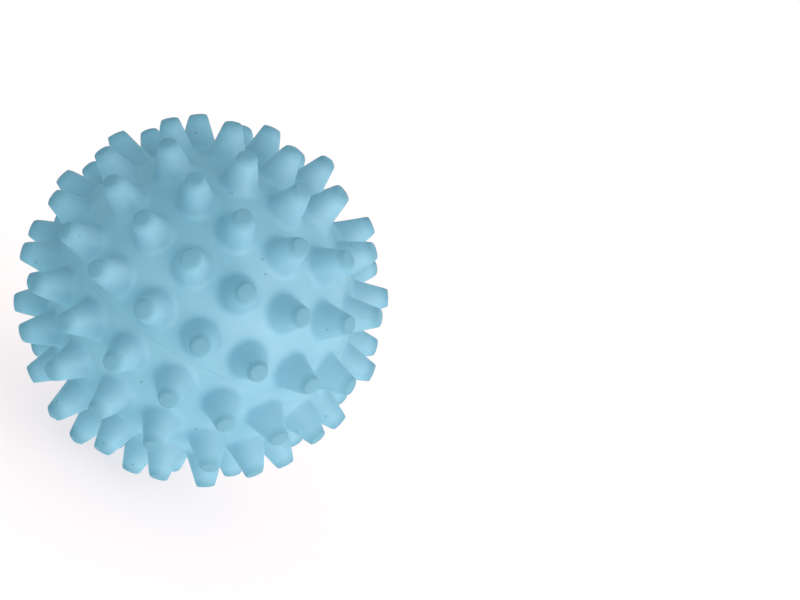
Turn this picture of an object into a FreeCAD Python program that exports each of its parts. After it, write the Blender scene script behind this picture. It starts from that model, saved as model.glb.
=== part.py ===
import FreeCAD, Part

import math
import os

import Sketcher

# Dryer ball: a hollow soft-plastic ball whose blunt conical spikes keep laundry apart in a tumble
# dryer. It is moulded as two mirror-image halves, bonded on a tongue and groove at the equator, and
# the vent hole left by moulding is closed with a push-in plug.
#
# Frame, in millimetres: the origin is the ball's centre, +Z runs through the upper pole spike at
# right angles to the bonded joint, and +X runs along the first spike of every ring. The spikes stand
# in rings of equal latitude, evenly spaced round +Z, and the lower half repeats the upper one.

# The driving dimensions: alias, value, meaning. Lengths in millimetres, angles in degrees.
DIMENSIONS = [
    ("ball_diameter", 70, "across two opposite spike tips"),
    ("wall_diameter", 56.4, "outside of the ball's wall, between the spikes"),
    ("wall_thickness", 2.5, "of the hollow ball"),
    ("tongue_thickness", 1.0, "of the tongue on the lower half's rim"),
    ("tongue_height", 1.5, "from the joint to the tongue's top"),
    ("tip_diameter", 2.8, "of a spike's flat tip, inside its rounded edge"),
    ("tip_edge_radius", 0.35, "of the rounding between a spike's tip and its flank"),
    ("spike_taper", 16, "between a spike's flank and its axis"),
    ("belt_latitude", 10, "of the rings of spikes on either side of the joint"),
    ("ring_step", 20, "of latitude from each ring to the next"),
    ("belt_count", 18, "spikes in each ring beside the joint"),
    ("shoulder_count", 16, "spikes in each second ring"),
    ("collar_count", 12, "spikes in each third ring"),
    ("crown_count", 6, "spikes in each ring round a pole spike"),
    ("vent_latitude", 63.4, "of the vent hole, south of the joint"),
    ("vent_diameter", 2.0, "of the vent hole through the wall"),
    ("plug_head_diameter", 3.0, "of the plug's head and of its seat in the wall"),
    ("plug_head_depth", 0.8, "that the head is let into the wall"),
    ("barb_diameter", 2.9, "of the plug's barb at its shoulder"),
    ("barb_end_diameter", 1.5, "of the plug's inner end"),
    ("barb_length", 1.6, "from the barb's shoulder to the plug's inner end"),
    ("barb_gap", 0.1, "between the wall's inside and the barb's shoulder"),
    ("cut_overrun", 1, "that the vent's cut runs past both faces of the wall"),
]

# Each ring on one half: name, its count's alias, and how many ring steps it lies above the belt.
RINGS = [
    ("belt", "belt_count", 0),
    ("shoulder", "shoulder_count", 1),
    ("collar", "collar_count", 2),
    ("crown", "crown_count", 3),
]

NORMAL = FreeCAD.Vector(0, 0, 1)
CENTRE = FreeCAD.Vector(0, 0, 0)
START, END, MIDDLE = 1, 2, 3
HORIZONTAL_AXIS, VERTICAL_AXIS = -1, -2

document = FreeCAD.newDocument("dryer_ball")
sheet = document.addObject("Spreadsheet::Sheet", "Dimensions")


def fill_sheet():
    """Writes each driving dimension and its meaning to the sheet, under its alias."""
    for row, (alias, value, meaning) in enumerate(DIMENSIONS, start=1):
        sheet.set(f"A{row}", alias)
        sheet.set(f"B{row}", str(value))
        sheet.set(f"C{row}", meaning)
        sheet.setAlias(f"B{row}", alias)
    document.recompute()


def new_body(label):
    body = document.addObject("PartDesign::Body", label)
    body.Label = label
    body.Placement = FreeCAD.Placement(CENTRE, FreeCAD.Rotation(NORMAL, 0))
    return body


def origin_item(body, role):
    """The plane or axis of the body's own origin that has this role."""
    return next(item for item in body.Origin.OriginFeatures if item.Role == role)


def polar(radius, angle):
    """The sketch point at this radius and this angle in degrees."""
    return (radius * math.cos(math.radians(angle)), radius * math.sin(math.radians(angle)))


class Profile:
    """A sketch of half a section through the ball's centre, revolved about one of its axes.

    The sketch is turned within its plane by an expression in degrees, so that its horizontal axis
    can run along the spike or the hole that it draws.
    """

    def __init__(self, body, name, plane="XZ_Plane", turn="0"):
        self.sketch = body.newObject("Sketcher::SketchObject", name)
        self.sketch.AttachmentSupport = [(origin_item(body, plane), "")]
        self.sketch.MapMode = "FlatFace"
        self.sketch.AttachmentOffset = FreeCAD.Placement(CENTRE, FreeCAD.Rotation(NORMAL, 1))
        self.sketch.setExpression("AttachmentOffset.Rotation.Angle", turn)

    def line(self, start, end):
        edge = Part.LineSegment(FreeCAD.Vector(*start, 0), FreeCAD.Vector(*end, 0))
        return self.sketch.addGeometry(edge)

    def arc(self, centre, radius, first_angle, last_angle):
        circle = Part.Circle(FreeCAD.Vector(*centre, 0), NORMAL, radius)
        turn = (math.radians(first_angle), math.radians(last_angle))
        return self.sketch.addGeometry(Part.ArcOfCircle(circle, *turn))

    def rule(self, kind, *where):
        self.sketch.addConstraint(Sketcher.Constraint(kind, *where))

    def size(self, name, expression, kind, *where):
        """Adds a dimension that follows the sheet. The last of where is its first guess."""
        number = self.sketch.addConstraint(Sketcher.Constraint(kind, *where))
        self.sketch.renameConstraint(number, name)
        self.sketch.setExpression(f"Constraints.{name}", expression)

    def chain(self, points):
        """Lines from each point to the next, level or upright where they are drawn so."""
        lines = [self.line(start, end) for start, end in zip(points, points[1:])]
        for before, after in zip(lines, lines[1:]):
            self.rule("Coincident", before, END, after, START)
        for number, start, end in zip(lines, points, points[1:]):
            if start[1] == end[1]:
                self.rule("Horizontal", number)
            elif start[0] == end[0]:
                self.rule("Vertical", number)
        return lines

    def centred_arc(self, name, expression, radius, first_angle, last_angle):
        """An arc about the ball's centre, its radius from the sheet."""
        number = self.arc((0, 0), radius, first_angle, last_angle)
        self.rule("Coincident", number, MIDDLE, HORIZONTAL_AXIS, START)
        self.size(name, expression, "Radius", number, radius)
        return number

    def revolve(self, body, kind, name, axis):
        """Turns the profile once round its own horizontal or vertical axis."""
        document.recompute()
        if not self.sketch.FullyConstrained:
            raise RuntimeError(f"{self.sketch.Name} is not fully constrained")
        feature = body.newObject(kind, name)
        feature.Profile = self.sketch
        feature.ReferenceAxis = (self.sketch, [axis])
        feature.Angle = 360
        body.Tip = feature
        document.recompute()
        return feature


def shell(label, side):
    """Half of the ball's hollow wall. side is 1 above the joint and -1 below it.

    Both halves follow the same stepped rim, so the lower one's tongue fills the upper one's groove.
    """
    outer = sheet.wall_diameter / 2
    inner = outer - sheet.wall_thickness
    middle = (outer + inner) / 2
    half_tongue = sheet.tongue_thickness / 2
    height = sheet.tongue_height
    body = new_body(label)
    profile = Profile(body, f"{label}_section")
    angles = (0, 90) if side > 0 else (-90, 0)
    rim_end, pole_end = (START, END) if side > 0 else (END, START)
    skin = profile.centred_arc("outer_radius", "Dimensions.wall_diameter / 2", outer, *angles)
    inner_size = "Dimensions.wall_diameter / 2 - Dimensions.wall_thickness"
    lining = profile.centred_arc("inner_radius", inner_size, inner, *angles)
    rim = profile.chain([
        (inner, 0),
        (middle - half_tongue, 0),
        (middle - half_tongue, height),
        (middle + half_tongue, height),
        (middle + half_tongue, 0),
        (outer, 0),
    ])
    pole = profile.line((0, side * inner), (0, side * outer))
    profile.rule("Coincident", rim[0], START, lining, rim_end)
    profile.rule("Coincident", rim[-1], END, skin, rim_end)
    profile.rule("Coincident", pole, START, lining, pole_end)
    profile.rule("Coincident", pole, END, skin, pole_end)
    profile.rule("PointOnObject", pole, START, VERTICAL_AXIS)
    profile.rule("PointOnObject", pole, END, VERTICAL_AXIS)
    profile.rule("PointOnObject", rim[0], START, HORIZONTAL_AXIS)
    profile.rule("PointOnObject", rim[-1], END, HORIZONTAL_AXIS)
    ledge = "(Dimensions.wall_thickness - Dimensions.tongue_thickness) / 2"
    width = (outer - inner) / 2 - half_tongue
    profile.size("inner_ledge", ledge, "DistanceX", rim[0], START, rim[0], END, width)
    profile.size("outer_ledge", ledge, "DistanceX", rim[-1], START, rim[-1], END, width)
    profile.size("tongue", "Dimensions.tongue_height", "DistanceY", rim[1], START, rim[1], END, height)
    profile.revolve(body, "PartDesign::Revolution", f"{label}_wall", "V_Axis")
    return body


def vent_sizes():
    """Distances from the ball's centre and radii that the vent hole and its plug share."""
    outer = sheet.wall_diameter / 2
    inner = outer - sheet.wall_thickness
    seat = outer - sheet.plug_head_depth
    return outer, inner, seat, sheet.plug_head_diameter / 2, sheet.vent_diameter / 2


VENT_TURN = "180 + Dimensions.vent_latitude"
WALL_INSIDE = "Dimensions.wall_diameter / 2 - Dimensions.wall_thickness"
SEAT_RADIUS = "Dimensions.wall_diameter / 2 - Dimensions.plug_head_depth"
HALF_HEAD = "Dimensions.plug_head_diameter / 2"
HALF_BORE = "Dimensions.vent_diameter / 2"


def cut_vent(body):
    """Cuts the vent hole and the seat of the plug's head through the lower half's wall."""
    outer, inner, seat, head, bore = vent_sizes()
    start = inner - sheet.cut_overrun
    end = outer + sheet.cut_overrun
    profile = Profile(body, "vent_section", "YZ_Plane", VENT_TURN)
    steps = profile.chain([
        (start, 0),
        (start, bore),
        (seat, bore),
        (seat, head),
        (end, head),
        (end, 0),
        (start, 0),
    ])
    profile.rule("Coincident", steps[-1], END, steps[0], START)
    profile.rule("PointOnObject", steps[0], START, HORIZONTAL_AXIS)
    reach = (HORIZONTAL_AXIS, START)
    start_at = f"{WALL_INSIDE} - Dimensions.cut_overrun"
    end_at = "Dimensions.wall_diameter / 2 + Dimensions.cut_overrun"
    profile.size("from", start_at, "DistanceX", *reach, steps[0], START, start)
    profile.size("seat", SEAT_RADIUS, "DistanceX", *reach, steps[2], START, seat)
    profile.size("to", end_at, "DistanceX", *reach, steps[4], END, end)
    profile.size("bore", HALF_BORE, "DistanceY", steps[0], START, steps[0], END, bore)
    profile.size("head", HALF_HEAD, "DistanceY", steps[4], END, steps[4], START, head)
    solid_wall = body.Shape.Volume
    profile.revolve(body, "PartDesign::Groove", "vent_hole", "H_Axis")
    if body.Shape.Volume >= solid_wall:
        raise RuntimeError("the vent hole cut nothing")


def vent_plug(label):
    """The stopper pressed into the vent hole: a flush head, a stem and a barb inside the ball."""
    outer, inner, seat, head, bore = vent_sizes()
    shoulder = inner - sheet.barb_gap
    barb = sheet.barb_diameter / 2
    barb_end = sheet.barb_end_diameter / 2
    tail = shoulder - sheet.barb_length
    body = new_body(label)
    profile = Profile(body, f"{label}_section", "YZ_Plane", VENT_TURN)
    cap_angle = math.degrees(math.asin(head / outer))
    cap = profile.centred_arc("flush", "Dimensions.wall_diameter / 2", outer, 0, cap_angle)
    rim = polar(outer, cap_angle)[0]
    steps = profile.chain([
        (rim, head),
        (seat, head),
        (seat, bore),
        (shoulder, bore),
        (shoulder, barb),
        (tail, barb_end),
        (tail, 0),
        (outer, 0),
    ])
    profile.rule("Coincident", cap, END, steps[0], START)
    profile.rule("Coincident", cap, START, steps[-1], END)
    profile.rule("PointOnObject", cap, START, HORIZONTAL_AXIS)
    reach = (HORIZONTAL_AXIS, START)
    shoulder_at = f"{WALL_INSIDE} - Dimensions.barb_gap"
    profile.size("seat", SEAT_RADIUS, "DistanceX", *reach, steps[1], START, seat)
    profile.size("shoulder", shoulder_at, "DistanceX", *reach, steps[3], START, shoulder)
    profile.size("barb_run", "Dimensions.barb_length", "DistanceX", steps[4], END, steps[4], START,
                 sheet.barb_length)
    profile.size("head", HALF_HEAD, "DistanceY", *reach, steps[0], START, head)
    profile.size("stem", HALF_BORE, "DistanceY", *reach, steps[2], END, bore)
    profile.size("barb", "Dimensions.barb_diameter / 2", "DistanceY", *reach, steps[3], END, barb)
    profile.size("tail", "Dimensions.barb_end_diameter / 2", "DistanceY", *reach, steps[4], END, barb_end)
    profile.revolve(body, "PartDesign::Revolution", f"{label}_turned", "H_Axis")
    return body


def spike(body, name, turn):
    """One spike: a blunt cone along the direction at this latitude above +X.

    Its foot is hollowed to the wall's own sphere, so it stands on the wall face to face.
    """
    reach = sheet.ball_diameter / 2
    wall = sheet.wall_diameter / 2
    flat = sheet.tip_diameter / 2
    edge = sheet.tip_edge_radius
    taper = sheet.spike_taper
    round_centre = (reach - edge, flat)
    flank_start = tuple(c + d for c, d in zip(round_centre, polar(edge, 90 - taper)))
    foot_angle = math.degrees(2 * flat / wall)
    foot = polar(wall, foot_angle)
    profile = Profile(body, f"{name}_section", turn=turn)
    axis, tip = profile.chain([(wall, 0), (reach, 0), (reach, flat)])
    rounding = profile.arc(round_centre, edge, 0, 90 - taper)
    flank = profile.line(flank_start, foot)
    foot_arc = profile.centred_arc("foot", "Dimensions.wall_diameter / 2", wall, 0, foot_angle)
    profile.rule("PointOnObject", axis, START, HORIZONTAL_AXIS)
    profile.rule("Tangent", tip, END, rounding, START)
    profile.rule("Tangent", rounding, END, flank, START)
    profile.rule("Coincident", flank, END, foot_arc, END)
    profile.rule("Coincident", foot_arc, START, axis, START)
    profile.size("reach", "Dimensions.ball_diameter / 2", "DistanceX", HORIZONTAL_AXIS, START,
                 axis, END, reach)
    profile.size("flat", "Dimensions.tip_diameter / 2", "DistanceY", tip, START, tip, END, flat)
    profile.size("edge", "Dimensions.tip_edge_radius", "Radius", rounding, edge)
    profile.size("taper", "180 - Dimensions.spike_taper", "Angle", flank, math.radians(180 - taper))
    return profile.revolve(body, "PartDesign::Revolution", name, "H_Axis")


def spike_ring(label, count_alias, steps_up, side):
    """A ring of spikes at one latitude, the first above or below +X."""
    body = new_body(label)
    sign = "" if side > 0 else "-"
    latitude = f"{sign}(Dimensions.belt_latitude + {steps_up} * Dimensions.ring_step)"
    first = spike(body, f"{label}_first", latitude)
    pattern = body.newObject("PartDesign::PolarPattern", f"{label}_ring")
    pattern.Originals = [first]
    pattern.Axis = (origin_item(body, "Z_Axis"), [""])
    pattern.Angle = 360
    pattern.setExpression("Occurrences", f"Dimensions.{count_alias}")
    body.Tip = pattern
    document.recompute()
    found = len(body.Shape.Solids)
    if found != int(getattr(sheet, count_alias)):
        raise RuntimeError(f"{label} has {found} spikes")
    return body


def pole_spike(label, side):
    body = new_body(label)
    spike(body, f"{label}_turned", f"{side * 90}")
    return body


def build():
    """Makes every sub-part and returns them in the order that they are written."""
    fill_sheet()
    lower_shell = shell("lower_shell", -1)
    cut_vent(lower_shell)
    parts = [shell("upper_shell", 1), lower_shell, vent_plug("vent_plug")]
    for half, side in (("upper", 1), ("lower", -1)):
        for name, count_alias, steps_up in RINGS:
            parts.append(spike_ring(f"{half}_{name}_spikes", count_alias, steps_up, side))
        parts.append(pole_spike(f"{half}_pole_spike", side))
    document.recompute()
    return parts


def check(parts):
    """Stops the script if any object failed or any sub-part has no sound shape."""
    for item in document.Objects:
        if "Invalid" in item.State or "Error" in item.State:
            raise RuntimeError(f"{item.Label} failed: {item.State}")
    for body in parts:
        if body.Shape.isNull() or not body.Shape.isValid():
            raise RuntimeError(f"{body.Label} has no valid shape")


def write(parts):
    os.makedirs("parts", exist_ok=True)
    for body in parts:
        body.Shape.exportStep(f"parts/{body.Label}.step")
        print(body.Label, len(body.Shape.Solids), "solids,", round(body.Shape.Volume), "mm3")


sub_parts = build()
check(sub_parts)
write(sub_parts)
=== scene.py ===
import math
import random

import bmesh
import bpy
from mathutils import Matrix, Vector, noise
from mathutils.geometry import delaunay_2d_cdt


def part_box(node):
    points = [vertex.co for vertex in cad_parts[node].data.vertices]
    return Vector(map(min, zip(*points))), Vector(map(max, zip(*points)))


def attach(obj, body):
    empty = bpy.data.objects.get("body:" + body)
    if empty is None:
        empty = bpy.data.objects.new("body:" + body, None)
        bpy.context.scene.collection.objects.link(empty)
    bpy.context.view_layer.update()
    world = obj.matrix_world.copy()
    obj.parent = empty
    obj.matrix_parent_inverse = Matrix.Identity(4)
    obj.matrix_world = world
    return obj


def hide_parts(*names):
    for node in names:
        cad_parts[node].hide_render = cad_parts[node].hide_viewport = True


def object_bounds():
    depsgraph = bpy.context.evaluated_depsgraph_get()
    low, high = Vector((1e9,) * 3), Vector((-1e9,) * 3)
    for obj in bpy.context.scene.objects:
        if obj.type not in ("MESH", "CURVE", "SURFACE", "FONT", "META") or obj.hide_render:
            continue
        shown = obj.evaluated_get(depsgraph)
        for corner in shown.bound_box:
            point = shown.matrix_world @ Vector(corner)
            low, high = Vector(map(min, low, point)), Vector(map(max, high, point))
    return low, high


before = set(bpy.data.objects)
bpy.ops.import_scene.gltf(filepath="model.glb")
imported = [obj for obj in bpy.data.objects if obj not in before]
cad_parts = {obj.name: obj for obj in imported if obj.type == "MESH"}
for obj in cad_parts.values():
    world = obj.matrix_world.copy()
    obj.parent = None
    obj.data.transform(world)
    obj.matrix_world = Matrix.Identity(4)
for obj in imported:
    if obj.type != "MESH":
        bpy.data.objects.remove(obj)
cad_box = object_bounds()

# A soft-plastic dryer ball: two hollow half mouldings that meet at z = 0, each with 53 blunt spikes
# moulded in one with its wall, and a small plug in the vent hole. Everything is in metres.
MM = 0.001
TURN = 2 * math.pi
QUARTER = math.pi / 2

# Sizes read from the frame.
BALL_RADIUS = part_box("upper_pole_spike")[1].z
WALL_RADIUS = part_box("upper_shell")[1].z
TONGUE_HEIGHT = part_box("lower_shell")[1].z

# Sizes shared with the CAD part.
WALL = 2.5 * MM
INNER_RADIUS = WALL_RADIUS - WALL
TONGUE = 1.0 * MM
TIP_FLAT = 1.4 * MM
TIP_EDGE = 0.35 * MM
TAPER = math.radians(16)
VENT_LATITUDE = math.radians(-63.4)
VENT_LONGITUDE = math.radians(270)
VENT_BORE = 1.0 * MM
PLUG_HEAD = 1.5 * MM
PLUG_DEPTH = 0.8 * MM
BARB = 1.45 * MM
BARB_END = 0.75 * MM
BARB_LENGTH = 1.6 * MM
BARB_GAP = 0.1 * MM

# The rings of spikes on one half, from the joint to the pole: name, latitude in degrees and count.
RINGS = (
    ("belt_spikes", 10, 18),
    ("shoulder_spikes", 30, 16),
    ("collar_spikes", 50, 12),
    ("crown_spikes", 70, 6),
    ("pole_spike", 90, 1),
)

# How finely round shapes are divided.
SPOKES = 44
EQUATOR_POINTS = 360
EDGE_STEPS = 5
FILLET_STEPS = 7
FLANK_STEPS = 7
TIP_RINGS = (0.35, 0.7)
SMALL_EDGE_STEPS = 3

# Details of the spikes that only the visual model has. The lean and tilt are upper limits.
ROOT_FILLET = 1.5 * MM
LEAN = 0.22 * MM
TILT = 0.1
CROWN_LOW, CROWN_HIGH = 0.08 * MM, 0.22 * MM
TIP_ROUGHNESS = 0.05 * MM
TIP_GRAIN = 1.1 * MM

# Spikes whose ends are longer, domed and rough: latitude and longitude in degrees.
LONG_SPIKES = ((70, 180), (50, 210), (-70, 0), (-50, 0))
LONG_EXTRA = 0.25 * MM
LONG_DOME = 0.6 * MM
LONG_ROUGHNESS = 0.3 * MM
SAME_DIRECTION = 0.01

# Details of the walls that only the visual model has.
SEAM_DEPTH = 0.04 * MM
SEAM_SUPPORT = 0.15 * MM
FILL_SPACING = 0.95 * MM
LINING_SPACING = 2.6 * MM
VENT_CLEARANCE = 1 * MM
WAVE_DEPTH = 0.09 * MM
WAVE_LENGTH = 5.0 * MM
SEED = 11

# Details of the vent hole and its plug that only the visual model has.
VENT_EDGE = 0.12 * MM
VENT_GAP = 0.03 * MM
PLUG_EDGE = 0.15 * MM
PLUG_SUNK = 0.02 * MM
MARK_RADIUS = 0.45 * MM
MARK_DEPTH = 0.12 * MM
MARK_WALL_DEPTH, MARK_BRIM_DEPTH = 0.1 * MM, 0.01 * MM
MARK_FLOOR_SHARE, MARK_BRIM_SHARE = 0.6, 1.15
HEAD_MIDDLE = 1.0 * MM

# The plastic's colours.
BALL_DEEP, BALL_PALE = (0.23, 0.41, 0.52), (0.31, 0.485, 0.595)
PLUG_DEEP, PLUG_PALE = (0.21, 0.385, 0.495), (0.28, 0.455, 0.565)
# The share of the deep blue kept on the spike tips: painted shade that darkens their ends.
TIP_SHADE_TONE = 0.77
PIT_TONE = 0.72
CLOUD_SHARE = 0.75
MOTTLE_SHARE = 0.25

# The plastic's noises: the size of the features, the detail and the roughness. Most of what a
# noise gives lies between NOISE_LOW and NOISE_HIGH.
CLOUDS = (14 * MM, 4.0, 0.55)
MOTTLE = (1.6 * MM, 5.0, 0.6)
DIMPLES = (1.1 * MM, 3.0, 0.5)
GRAIN = (0.16 * MM, 2.0, 0.6)
NOISE_LOW, NOISE_HIGH = 0.3, 0.7

# The plastic's relief: strength and depth.
GRAIN_RELIEF = (0.12, 0.02 * MM)
DIMPLE_RELIEF = (0.25, 0.06 * MM)
PIT_RELIEF = (0.6, 0.08 * MM)

# Pits: the spacing of places for one, its bottom and brim in the texture's own distance, and the
# share of places left without one.
PIT_SPACING = 2.6 * MM
PIT_BOTTOM, PIT_BRIM = 0.06, 0.13
WITHOUT_PIT = 0.84

# The gloss: the range of the satin roughness, and how much rougher the tips are. The tips'
# roughness and their painted shade set in between these depths below the ball's radius.
SATIN_LOW, SATIN_HIGH = 0.44, 0.54
TIP_MATTNESS = 0.4
TIP_STARTS, TIP_ENDS = 1.8 * MM, 0.1 * MM

# Scattering under the surface: none up to the first height off the joint, full from the second.
SCATTER_STARTS, SCATTER_FULL = 0.5 * MM, 3.5 * MM
SCATTER_WEIGHT = 0.8
SCATTER_DEPTH = 2.5 * MM
SCATTER_COLOUR = (0.3, 0.8, 1.0)

# The camera, in the ball's own frame.
CAMERA_LATITUDE = math.radians(21.86)
CAMERA_LONGITUDE = math.radians(33.1)
CAMERA_ROLL = math.radians(31.4)
CAMERA_DISTANCE = 14.62 * BALL_RADIUS
CAMERA_LENS = 122.8
CAMERA_SENSOR = 36
CAMERA_NEAR, CAMERA_FAR = 0.01, 10
AIM_SIDEWAYS = math.radians(4.156)

# The surrounding light: its colour, the direction of its brightest side, and its weakest and
# strongest levels.
SKY_COLOUR = (0.66, 0.96, 1.0)
BRIGHT_SIDE = (-0.10, 0.92, -0.36)
DIM_LEVEL = 0.64
BRIGHT_LEVEL = 1.4

# The key light: where it shines from, its distance and width in metres, its power and colour.
KEY_DIRECTION = (0.206, 0.956, 0.202)
KEY_DISTANCE = 0.7
KEY_WIDTH = 1.0
KEY_POWER = 3.45
KEY_COLOUR = (1.0, 0.77, 0.69)

# The backdrop. The paper's glow is a little warm, to even out the blue of the surrounding light.
FLOOR_RADIUS = 2.0
DOME_RADIUS = 3.0
FADE_RADIUS = 0.10
GLOW_AT_BALL = 0.55
GLOW_COLOUR = (1.0, 0.87, 0.865)
GLOW_STRENGTH = 1.16
PAPER_COLOUR = (0.95, 0.95, 0.95)

# The two colour inputs and the colour output of a Mix node.
FIRST_COLOUR, SECOND_COLOUR, MIXED_COLOUR = 6, 7, 2


def direction_to(latitude, longitude):
    """The unit direction to a place on a sphere."""
    flat = math.cos(latitude)
    return Vector((flat * math.cos(longitude), flat * math.sin(longitude), math.sin(latitude)))


def across(axis):
    """Two directions at right angles to axis and to each other."""
    side = axis.orthogonal().normalized()
    return side, axis.cross(side)


def even_turns(count):
    return [TURN * i / count for i in range(count)]


def arc_points(centre, radius, first, last, steps):
    """Points on an arc of a profile, from angle first to angle last."""
    turns = [first + (last - first) * i / steps for i in range(steps + 1)]
    return [(centre[0] + radius * math.cos(a), centre[1] + radius * math.sin(a)) for a in turns]


def spike_profile():
    """(distance from the spike's axis, height above the ball's centre), from the tip to the wall.

    The tip is flat with a rounded edge, the flank is straight, and a fillet runs out into the wall.
    """
    flat = [(TIP_FLAT * share, BALL_RADIUS) for share in TIP_RINGS]
    round_centre = (TIP_FLAT, BALL_RADIUS - TIP_EDGE)
    edge = arc_points(round_centre, TIP_EDGE, QUARTER, TAPER, EDGE_STEPS)
    fillet = root_fillet(edge[-1])
    top, foot = edge[-1], fillet[0]
    flank = []
    for i in range(1, FLANK_STEPS):
        share = i / FLANK_STEPS
        flank.append((top[0] + share * (foot[0] - top[0]), top[1] + share * (foot[1] - top[1])))
    return flat + edge + flank + fillet


def root_fillet(flank_top):
    """The arc that joins the flank, which starts at flank_top, to the wall.

    Its centre lies one fillet radius off the flank and one fillet radius off the wall.
    """
    down = (math.sin(TAPER), -math.cos(TAPER))
    out = (math.cos(TAPER), math.sin(TAPER))
    start = (flank_top[0] + ROOT_FILLET * out[0], flank_top[1] + ROOT_FILLET * out[1])
    half = start[0] * down[0] + start[1] * down[1]
    rest = start[0] ** 2 + start[1] ** 2 - (WALL_RADIUS + ROOT_FILLET) ** 2
    run = -half - math.sqrt(half * half - rest)
    centre = (start[0] + run * down[0], start[1] + run * down[1])
    last = math.pi + math.atan2(centre[1], centre[0])
    return arc_points(centre, ROOT_FILLET, math.pi + TAPER, last, FILLET_STEPS)


SPIKE_PROFILE = spike_profile()
SPIKE_REACH = math.atan2(*SPIKE_PROFILE[-1])


class Mesh:
    """Vertices and faces of one piece, gathered before its object is made."""

    def __init__(self):
        self.points = []
        self.faces = []

    def add(self, points):
        """Adds points and returns their indexes."""
        first = len(self.points)
        self.points.extend(points)
        return list(range(first, len(self.points)))

    def bridge(self, ring, other):
        """A band of four-sided faces between two rings of as many points."""
        count = len(ring)
        for i in range(count):
            after = (i + 1) % count
            self.faces.append((ring[i], ring[after], other[after], other[i]))

    def bridge_all(self, rings):
        for ring, after in zip(rings, rings[1:]):
            self.bridge(ring, after)

    def cap(self, ring, middle):
        """A fan of triangles that closes a ring."""
        for i, index in enumerate(ring):
            self.faces.append((index, ring[(i + 1) % len(ring)], middle))

    def circle(self, axis, distance, height, shape=None):
        """A ring of points round axis. shape, if given, moves each point."""
        side, other = across(axis)
        ring = []
        for turn in even_turns(SPOKES):
            point = axis * height + (side * math.cos(turn) + other * math.sin(turn)) * distance
            ring.append(shape(point, distance, height) if shape else point)
        return self.add(ring)

    def make(self, name):
        """The piece as an object, with smooth faces that all look outwards."""
        data = bpy.data.meshes.new(name)
        data.from_pydata([tuple(p) for p in self.points], [], self.faces)
        form = bmesh.new()
        form.from_mesh(data)
        bmesh.ops.recalc_face_normals(form, faces=form.faces)
        form.to_mesh(data)
        form.free()
        data.polygons.foreach_set("use_smooth", [True] * len(data.polygons))
        piece = bpy.data.objects.new(name, data)
        bpy.context.scene.collection.objects.link(piece)
        return piece


def cover(mesh, side, border, holes, free_points):
    """Fills the half sphere inside border with triangles, leaving out what lies inside each hole.

    It works on the flat picture of the half sphere seen from the far pole, where circles stay
    circles. holes are sets of a ring and the unit direction and angle that it surrounds.
    """
    hole_share = 0.995
    tolerance = 1e-9
    rings = [border] + [ring for ring, _, _ in holes]
    indexes = [i for ring in rings for i in ring] + mesh.add(free_points)
    flat = []
    for i in indexes:
        unit = mesh.points[i].normalized()
        flat.append(Vector((unit.x, unit.y)) / (1 + side * unit.z))
    edges = []
    first = 0
    for ring in rings:
        count = len(ring)
        edges += [(first + i, first + (i + 1) % count) for i in range(count)]
        first += count
    made = delaunay_2d_cdt(flat, edges, [], 0, tolerance)
    triangles, sources = made[2], made[3]
    corner = [indexes[same[0]] for same in sources]
    for triangle in triangles:
        face = [corner[i] for i in triangle]
        middle = sum((mesh.points[i].normalized() for i in face), Vector()).normalized()
        if not any(middle.angle(axis) < angle * hole_share for _, axis, angle in holes):
            mesh.faces.append(tuple(face))


def fibonacci_points(side, radius, spacing, keep_off):
    """Evenly spread points on a half sphere, half a spacing clear of its rim.

    They also stay clear of keep_off, which holds directions and the gap to each along the sphere.
    """
    count = int(4 * math.pi * radius * radius / (spacing * spacing))
    golden = math.pi * (3 - math.sqrt(5))
    points = []
    for i in range(count):
        height = 1 - 2 * (i + 0.5) / count
        flat = math.sqrt(1 - height * height)
        unit = Vector((flat * math.cos(golden * i), flat * math.sin(golden * i), height))
        clear = all(unit.angle(axis) * radius > gap for axis, gap in keep_off)
        if side * height * radius > 0.5 * spacing and clear:
            points.append(unit * radius)
    return points


def wave(point):
    """How far the moulding's surface is sunk at this point: always inwards, soft and uneven."""
    return WAVE_DEPTH * (0.5 + 0.5 * noise.noise(point / WAVE_LENGTH))


def is_long(axis):
    """Whether the spike along axis is one of LONG_SPIKES."""
    directions = [direction_to(math.radians(a), math.radians(b)) for a, b in LONG_SPIKES]
    return any(axis.angle(direction) < SAME_DIRECTION for direction in directions)


def spike_shape(axis, dice):
    """The small faults of one spike: it leans, and its end is crowned, tilted or rough."""
    side, other = across(axis)
    turn = dice.uniform(0, TURN)
    lean_way = side * math.cos(turn) + other * math.sin(turn)
    lean = lean_way * dice.uniform(0, LEAN)
    tilt = dice.uniform(0, TILT)
    crown = dice.uniform(CROWN_LOW, CROWN_HIGH)
    lift, dome, rough = 0.0, 0.0, TIP_ROUGHNESS
    if is_long(axis):
        lift, dome, rough = LONG_EXTRA, LONG_DOME, LONG_ROUGHNESS
    end_starts = BALL_RADIUS - 1.5 * TIP_EDGE

    def shape(point, distance, height):
        rise = max(0.0, (point.length - WALL_RADIUS) / (BALL_RADIUS - WALL_RADIUS))
        moved = point + lean * rise * rise + axis * lift * rise
        if height > end_starts:
            share = min(1.0, distance / (TIP_FLAT + TIP_EDGE))
            slope = tilt * min(0.0, lean_way.dot(point))
            uneven = rough * min(0.0, noise.noise(point / TIP_GRAIN))
            moved += axis * (dome - (dome + crown) * share * share + slope + uneven)
        return moved

    return shape


def spike(mesh, axis, dice):
    """One spike, from the middle of its tip to its foot on the wall. Returns the foot's ring."""
    shape = spike_shape(axis, dice)
    rings = [mesh.circle(axis, distance, height, shape) for distance, height in SPIKE_PROFILE]
    tip = mesh.add([shape(axis * BALL_RADIUS, 0.0, BALL_RADIUS)])[0]
    mesh.cap(rings[0], tip)
    mesh.bridge_all(rings)
    return rings[-1]


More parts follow.
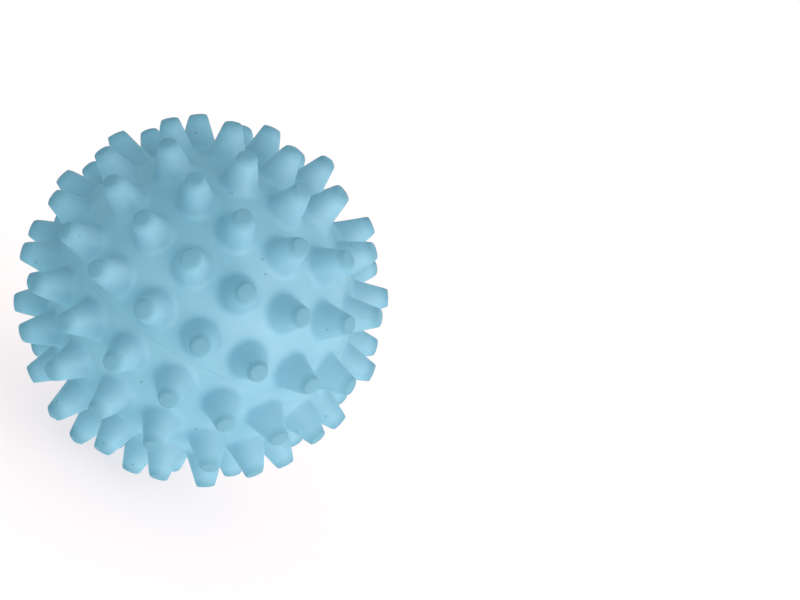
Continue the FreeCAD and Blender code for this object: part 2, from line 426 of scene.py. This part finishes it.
def rim(mesh, side):
    """The stepped rim of one half, from outside to inside. Returns its outer and inner rings."""
    middle = (WALL_RADIUS + INNER_RADIUS) / 2
    part_way = 0.3 * SEAM_DEPTH
    steps = [
        (WALL_RADIUS, side * SEAM_SUPPORT),
        (WALL_RADIUS, side * SEAM_DEPTH),
        (WALL_RADIUS - part_way, side * part_way),
        (WALL_RADIUS - SEAM_DEPTH, 0.0),
        (middle + TONGUE / 2, 0.0),
        (middle + TONGUE / 2, TONGUE_HEIGHT),
        (middle - TONGUE / 2, TONGUE_HEIGHT),
        (middle - TONGUE / 2, 0.0),
        (INNER_RADIUS, 0.0),
    ]
    rings = []
    for radius, height in steps:
        turns = even_turns(EQUATOR_POINTS)
        ring = [Vector((radius * math.cos(a), radius * math.sin(a), height)) for a in turns]
        rings.append(mesh.add(ring))
    mesh.bridge_all(rings)
    return rings[0], rings[-1]


def half_moulding(name, side, dice):
    """One half of the ball: its wall, its spikes, its stepped rim and its lining, as one skin."""
    mesh = Mesh()
    holes = []
    for _, degrees, count in RINGS:
        for turn in even_turns(count):
            axis = direction_to(side * math.radians(degrees), turn)
            holes.append((spike(mesh, axis, dice), axis, SPIKE_REACH))
    lining_holes = []
    if side < 0:
        hole, lining_hole = vent_hole(mesh)
        holes.append(hole)
        lining_holes.append(lining_hole)
    outer_rim, inner_rim = rim(mesh, side)
    foot_gap = 0.45 * FILL_SPACING
    keep_off = [(axis, angle * WALL_RADIUS + foot_gap) for _, axis, angle in holes]
    skin_points = fibonacci_points(side, WALL_RADIUS, FILL_SPACING, keep_off)
    cover(mesh, side, outer_rim, holes, skin_points)
    lining_keep = [(axis, angle * INNER_RADIUS + VENT_CLEARANCE) for _, axis, angle in lining_holes]
    lining_points = fibonacci_points(side, INNER_RADIUS, LINING_SPACING, lining_keep)
    cover(mesh, side, inner_rim, lining_holes, lining_points)
    outside = WALL_RADIUS - 1.5 * SEAM_DEPTH
    for i, point in enumerate(mesh.points):
        if point.length > outside:
            mesh.points[i] = point * (1 - wave(point) / point.length)
    return mesh.make(name)


def vent_hole(mesh):
    """The vent hole with the seat for the plug's head, with a little room round the plug.

    Returns a hole for the skin and one for the lining: a ring, its direction and its angle.
    """
    axis = direction_to(VENT_LATITUDE, VENT_LONGITUDE)
    lip = PLUG_HEAD + VENT_GAP
    mouth = lip + VENT_EDGE
    seat = WALL_RADIUS - PLUG_DEPTH
    bore = VENT_BORE + VENT_GAP
    top = math.sqrt(WALL_RADIUS ** 2 - mouth ** 2)
    foot = math.sqrt(INNER_RADIUS ** 2 - bore ** 2)
    rounding = arc_points((mouth, top - VENT_EDGE), VENT_EDGE, QUARTER, math.pi, SMALL_EDGE_STEPS)
    profile = rounding + [(lip, seat), (bore, seat), (bore, foot)]
    rings = [mesh.circle(axis, distance, height) for distance, height in profile]
    mesh.bridge_all(rings)
    skin_hole = (rings[0], axis, math.atan2(mouth, top))
    lining_hole = (rings[-1], axis, math.atan2(bore, foot))
    return skin_hole, lining_hole


def plug_piece():
    """The vent plug: a flush head with a soft edge and a small mould mark, a stem and a barb."""
    axis = direction_to(VENT_LATITUDE, VENT_LONGITUDE)
    crown = WALL_RADIUS - PLUG_SUNK
    floor = crown - MARK_DEPTH
    edge_centre = PLUG_HEAD - PLUG_EDGE
    rim_top = math.sqrt(crown ** 2 - edge_centre ** 2)
    seat = WALL_RADIUS - PLUG_DEPTH
    shoulder = INNER_RADIUS - BARB_GAP
    barb_foot = shoulder - BARB_LENGTH
    profile = [
        (MARK_FLOOR_SHARE * MARK_RADIUS, floor),
        (MARK_RADIUS, crown - MARK_WALL_DEPTH),
        (MARK_BRIM_SHARE * MARK_RADIUS, crown - MARK_BRIM_DEPTH),
        (HEAD_MIDDLE, math.sqrt(crown ** 2 - HEAD_MIDDLE ** 2)),
        *arc_points((edge_centre, rim_top - PLUG_EDGE), PLUG_EDGE, QUARTER, 0, SMALL_EDGE_STEPS),
        (PLUG_HEAD, seat),
        (VENT_BORE, seat),
        (VENT_BORE, shoulder),
        (BARB, shoulder),
        (BARB_END, barb_foot),
    ]
    mesh = Mesh()
    rings = [mesh.circle(axis, distance, height) for distance, height in profile]
    mesh.cap(rings[0], mesh.add([axis * floor])[0])
    mesh.bridge_all(rings)
    mesh.cap(rings[-1], mesh.add([axis * barb_foot])[0])
    return mesh.make("vent_plug_detailed")


class Nodes:
    """A short way to write a material's node tree."""

    def __init__(self, material):
        material.use_nodes = True
        self.tree = material.node_tree
        self.tree.nodes.clear()

    def add(self, kind, values=None, **settings):
        """A node with these input values and these settings."""
        node = self.tree.nodes.new(kind)
        for key, value in settings.items():
            setattr(node, key, value)
        for key, value in (values or {}).items():
            node.inputs[key].default_value = value
        return node

    def link(self, output, target):
        self.tree.links.new(output, target)

    def finish(self, surface):
        output = self.add("ShaderNodeOutputMaterial")
        self.link(surface, output.inputs["Surface"])


def noise_texture(nodes, coordinates, size, detail, roughness):
    """Noise whose features are about this size, in metres."""
    values = {"Scale": 1 / size, "Detail": detail, "Roughness": roughness}
    texture = nodes.add("ShaderNodeTexNoise", values)
    nodes.link(coordinates.outputs["Object"], texture.inputs["Vector"])
    return texture.outputs["Fac"]


def mapped(nodes, source, low, high, new_low, new_high):
    """source, with low to high stretched to new_low to new_high."""
    values = {"From Min": low, "From Max": high, "To Min": new_low, "To Max": new_high}
    scale = nodes.add("ShaderNodeMapRange", values)
    nodes.link(source, scale.inputs["Value"])
    return scale.outputs["Result"]


def scaled_sum(nodes, source, factor, base):
    """source times factor, plus base. source and base are output sockets."""
    result = nodes.add("ShaderNodeMath", {1: factor}, operation="MULTIPLY_ADD")
    nodes.link(source, result.inputs[0])
    nodes.link(base, result.inputs[2])
    return result.outputs[0]


def blend(nodes, share, first, second):
    """A mix of two colours, each an output socket or a tuple of numbers."""
    mix = nodes.add("ShaderNodeMix", data_type="RGBA")
    nodes.link(share, mix.inputs["Factor"])
    for place, colour in ((FIRST_COLOUR, first), (SECOND_COLOUR, second)):
        if isinstance(colour, tuple):
            mix.inputs[place].default_value = (*colour, 1)
        else:
            nodes.link(colour, mix.inputs[place])
    return mix.outputs[MIXED_COLOUR]


def bump(nodes, height, strength, depth, below=None, inward=False):
    """Relief from a pattern, depth metres deep at full strength, laid over the relief below."""
    values = {"Strength": strength, "Distance": depth}
    relief = nodes.add("ShaderNodeBump", values, invert=inward)
    nodes.link(height, relief.inputs["Height"])
    if below:
        nodes.link(below, relief.inputs["Normal"])
    return relief.outputs["Normal"]


def pits(nodes, coordinates):
    """1 inside a few tiny moulding pits and 0 elsewhere."""
    cells = nodes.add("ShaderNodeTexVoronoi", {"Scale": 1 / PIT_SPACING})
    nodes.link(coordinates.outputs["Object"], cells.inputs["Vector"])
    spot = mapped(nodes, cells.outputs["Distance"], PIT_BOTTOM, PIT_BRIM, 1.0, 0.0)
    chance = nodes.add("ShaderNodeSeparateColor")
    nodes.link(cells.outputs["Color"], chance.inputs[0])
    chosen = nodes.add("ShaderNodeMath", {1: WITHOUT_PIT}, operation="GREATER_THAN")
    nodes.link(chance.outputs[0], chosen.inputs[0])
    both = nodes.add("ShaderNodeMath", operation="MULTIPLY")
    nodes.link(spot, both.inputs[0])
    nodes.link(chosen.outputs[0], both.inputs[1])
    return both.outputs[0]


def scatter_weight(nodes, coordinates):
    """Full scattering, but none at the joint, where it would show as a dark line."""
    parts = nodes.add("ShaderNodeSeparateXYZ")
    nodes.link(coordinates.outputs["Object"], parts.inputs[0])
    height = nodes.add("ShaderNodeMath", operation="ABSOLUTE")
    nodes.link(parts.outputs["Z"], height.inputs[0])
    return mapped(nodes, height.outputs[0], SCATTER_STARTS, SCATTER_FULL, 0.0, SCATTER_WEIGHT)


def tip_share(nodes, coordinates):
    """0 below the tips of the spikes, rising to 1 at their ends."""
    radius = nodes.add("ShaderNodeVectorMath", operation="LENGTH")
    nodes.link(coordinates.outputs["Object"], radius.inputs[0])
    start = BALL_RADIUS - TIP_STARTS
    end = BALL_RADIUS - TIP_ENDS
    return mapped(nodes, radius.outputs["Value"], start, end, 0.0, 1.0)


def soft_plastic(name, deep, pale):
    """Matt soft PVC: a cloudy light blue that glows a little, with a fine moulded grain."""
    material = bpy.data.materials.new(name)
    nodes = Nodes(material)
    coordinates = nodes.add("ShaderNodeTexCoord")
    near_tip = tip_share(nodes, coordinates)
    specks = pits(nodes, coordinates)
    clouds = noise_texture(nodes, coordinates, *CLOUDS)
    mottle = noise_texture(nodes, coordinates, *MOTTLE)
    dimples = noise_texture(nodes, coordinates, *DIMPLES)
    grain = noise_texture(nodes, coordinates, *GRAIN)

    # The colour: clouds of a deep and a pale blue, with painted shade darkening the tips, and
    # deeper in the pits.
    tip_shade_colour = tuple(TIP_SHADE_TONE * value for value in deep)
    pit_colour = tuple(PIT_TONE * value for value in deep)
    cloud_part = mapped(nodes, clouds, NOISE_LOW, NOISE_HIGH, 0.0, CLOUD_SHARE)
    paleness = scaled_sum(nodes, mottle, MOTTLE_SHARE, cloud_part)
    with_tip_shade = blend(nodes, near_tip, blend(nodes, paleness, deep, pale), tip_shade_colour)
    colour = blend(nodes, specks, with_tip_shade, pit_colour)

    # The relief: grain, then shallow dimples, then the pits. The tips are rougher than the rest.
    grained = bump(nodes, grain, *GRAIN_RELIEF)
    dimpled = bump(nodes, dimples, *DIMPLE_RELIEF, below=grained)
    pitted = bump(nodes, specks, *PIT_RELIEF, below=dimpled, inward=True)
    satin = mapped(nodes, mottle, NOISE_LOW, NOISE_HIGH, SATIN_LOW, SATIN_HIGH)
    roughness = scaled_sum(nodes, near_tip, TIP_MATTNESS, satin)

    shader = nodes.add("ShaderNodeBsdfPrincipled", {
        "IOR": 1.5,
        "Specular IOR Level": 0.45,
        "Subsurface Radius": SCATTER_COLOUR,
        "Subsurface Scale": SCATTER_DEPTH,
        "Sheen Weight": 0.06,
        "Sheen Roughness": 0.5,
    }, subsurface_method="BURLEY")
    nodes.link(colour, shader.inputs["Base Color"])
    nodes.link(roughness, shader.inputs["Roughness"])
    nodes.link(scatter_weight(nodes, coordinates), shader.inputs["Subsurface Weight"])
    nodes.link(pitted, shader.inputs["Normal"])
    nodes.finish(shader.outputs["BSDF"])
    return material


def dress(piece, material, slot, *nodes):
    """Gives a piece its material, hangs it on the root body and hides the frame nodes that it
    stands for.
    """
    piece.data.materials.append(material)
    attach(piece, "root")
    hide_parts(*nodes)


def build_object():
    plastic = soft_plastic("ball_plastic", BALL_DEEP, BALL_PALE)
    plug_plastic = soft_plastic("plug_plastic", PLUG_DEEP, PLUG_PALE)
    dice = random.Random(SEED)
    for half, side in (("upper", 1), ("lower", -1)):
        moulding = half_moulding(f"{half}_half_moulding", side, dice)
        members = [f"{half}_shell"] + [f"{half}_{ring}" for ring, _, _ in RINGS]
        dress(moulding, plastic, "ball_plastic", *members)
    dress(plug_piece(), plug_plastic, "vent_plug", "vent_plug")


def place_camera():
    """A long lens from the side that shows the joint between the halves running down to the right.

    The pole leans to the right in the picture, and the camera is turned a little off the ball.
    """
    back = direction_to(CAMERA_LATITUDE, CAMERA_LONGITUDE)
    right = Vector((0, 0, 1)).cross(back).normalized()
    up = back.cross(right)
    rolled_right = right * math.cos(CAMERA_ROLL) + up * math.sin(CAMERA_ROLL)
    rolled_up = back.cross(rolled_right)
    turned = Matrix.Rotation(-AIM_SIDEWAYS, 3, rolled_up)
    axes = Matrix([turned @ rolled_right, rolled_up, turned @ back])
    place = Matrix.Translation(back * CAMERA_DISTANCE)
    camera = bpy.data.objects.new("camera", bpy.data.cameras.new("camera"))
    camera.data.lens = CAMERA_LENS
    camera.data.sensor_width = CAMERA_SENSOR
    camera.data.clip_start = CAMERA_NEAR
    camera.data.clip_end = CAMERA_FAR
    camera.matrix_world = place @ axes.transposed().to_4x4()
    bpy.context.scene.collection.objects.link(camera)
    bpy.context.scene.camera = camera


def dome_material():
    material = bpy.data.materials.new("white_dome")
    nodes = Nodes(material)
    glow = nodes.add("ShaderNodeEmission", {"Color": (1, 1, 1, 1), "Strength": 1.0})
    nodes.finish(glow.outputs[0])
    return material


def floor_material():
    """White paper that fades into the white surroundings away from the ball."""
    material = bpy.data.materials.new("paper")
    nodes = Nodes(material)
    coordinates = nodes.add("ShaderNodeTexCoord")
    distance = nodes.add("ShaderNodeVectorMath", operation="LENGTH")
    nodes.link(coordinates.outputs["Object"], distance.inputs[0])
    fade = mapped(nodes, distance.outputs["Value"], 0.0, FADE_RADIUS, GLOW_AT_BALL, 1.0)
    paper = nodes.add("ShaderNodeBsdfDiffuse", {"Color": (*PAPER_COLOUR, 1)})
    glow = nodes.add("ShaderNodeEmission", {"Color": (*GLOW_COLOUR, 1), "Strength": GLOW_STRENGTH})
    both = nodes.add("ShaderNodeMixShader")
    nodes.link(fade, both.inputs["Fac"])
    nodes.link(paper.outputs[0], both.inputs[1])
    nodes.link(glow.outputs[0], both.inputs[2])
    nodes.finish(both.outputs[0])
    return material


def stage_object(name, material, build):
    """Part of the backdrop, which neither lights the ball nor shades it."""
    data = bpy.data.meshes.new(name)
    form = bmesh.new()
    build(form)
    form.to_mesh(data)
    form.free()
    data.materials.append(material)
    piece = bpy.data.objects.new(name, data)
    bpy.context.scene.collection.objects.link(piece)
    for way in ("visible_diffuse", "visible_glossy", "visible_transmission", "visible_shadow"):
        setattr(piece, way, False)
    return piece


def build_stage():
    """A white floor under the ball and a white dome round everything."""
    def disc(form):
        bmesh.ops.create_circle(form, cap_ends=True, segments=96, radius=FLOOR_RADIUS)

    def shell(form):
        bmesh.ops.create_icosphere(form, subdivisions=4, radius=DOME_RADIUS)

    floor = stage_object("floor", floor_material(), disc)
    floor.location.z = cad_box[0].z
    stage_object("dome", dome_material(), shell)


def build_key_light():
    """A wide soft light shining at the ball."""
    data = bpy.data.lights.new("key", "AREA")
    data.shape = "DISK"
    data.size = KEY_WIDTH
    data.energy = KEY_POWER
    data.color = KEY_COLOUR
    light = bpy.data.objects.new("key", data)
    away = Vector(KEY_DIRECTION).normalized()
    facing = away.to_track_quat("Z", "Y").to_matrix().to_4x4()
    light.matrix_world = Matrix.Translation(away * KEY_DISTANCE) @ facing
    light.visible_camera = False
    bpy.context.scene.collection.objects.link(light)


def build_world():
    """A pale blue surrounding light, stronger on the side of BRIGHT_SIDE."""
    world = bpy.data.worlds.new("studio")
    bpy.context.scene.world = world
    world.use_nodes = True
    tree = world.node_tree
    sky = tree.nodes["Background"]
    sky.inputs["Color"].default_value = (*SKY_COLOUR, 1)
    coordinates = tree.nodes.new("ShaderNodeTexCoord")
    along = tree.nodes.new("ShaderNodeVectorMath")
    along.operation = "DOT_PRODUCT"
    along.inputs[1].default_value = BRIGHT_SIDE
    level = tree.nodes.new("ShaderNodeMapRange")
    level.inputs["From Min"].default_value = -1.0
    level.inputs["To Min"].default_value = DIM_LEVEL
    level.inputs["To Max"].default_value = BRIGHT_LEVEL
    tree.links.new(coordinates.outputs["Generated"], along.inputs[0])
    tree.links.new(along.outputs["Value"], level.inputs["Value"])
    tree.links.new(level.outputs["Result"], sky.inputs["Strength"])


build_object()
build_stage()
build_world()
build_key_light()
place_camera()
bpy.context.scene.view_settings.view_transform = "Standard"
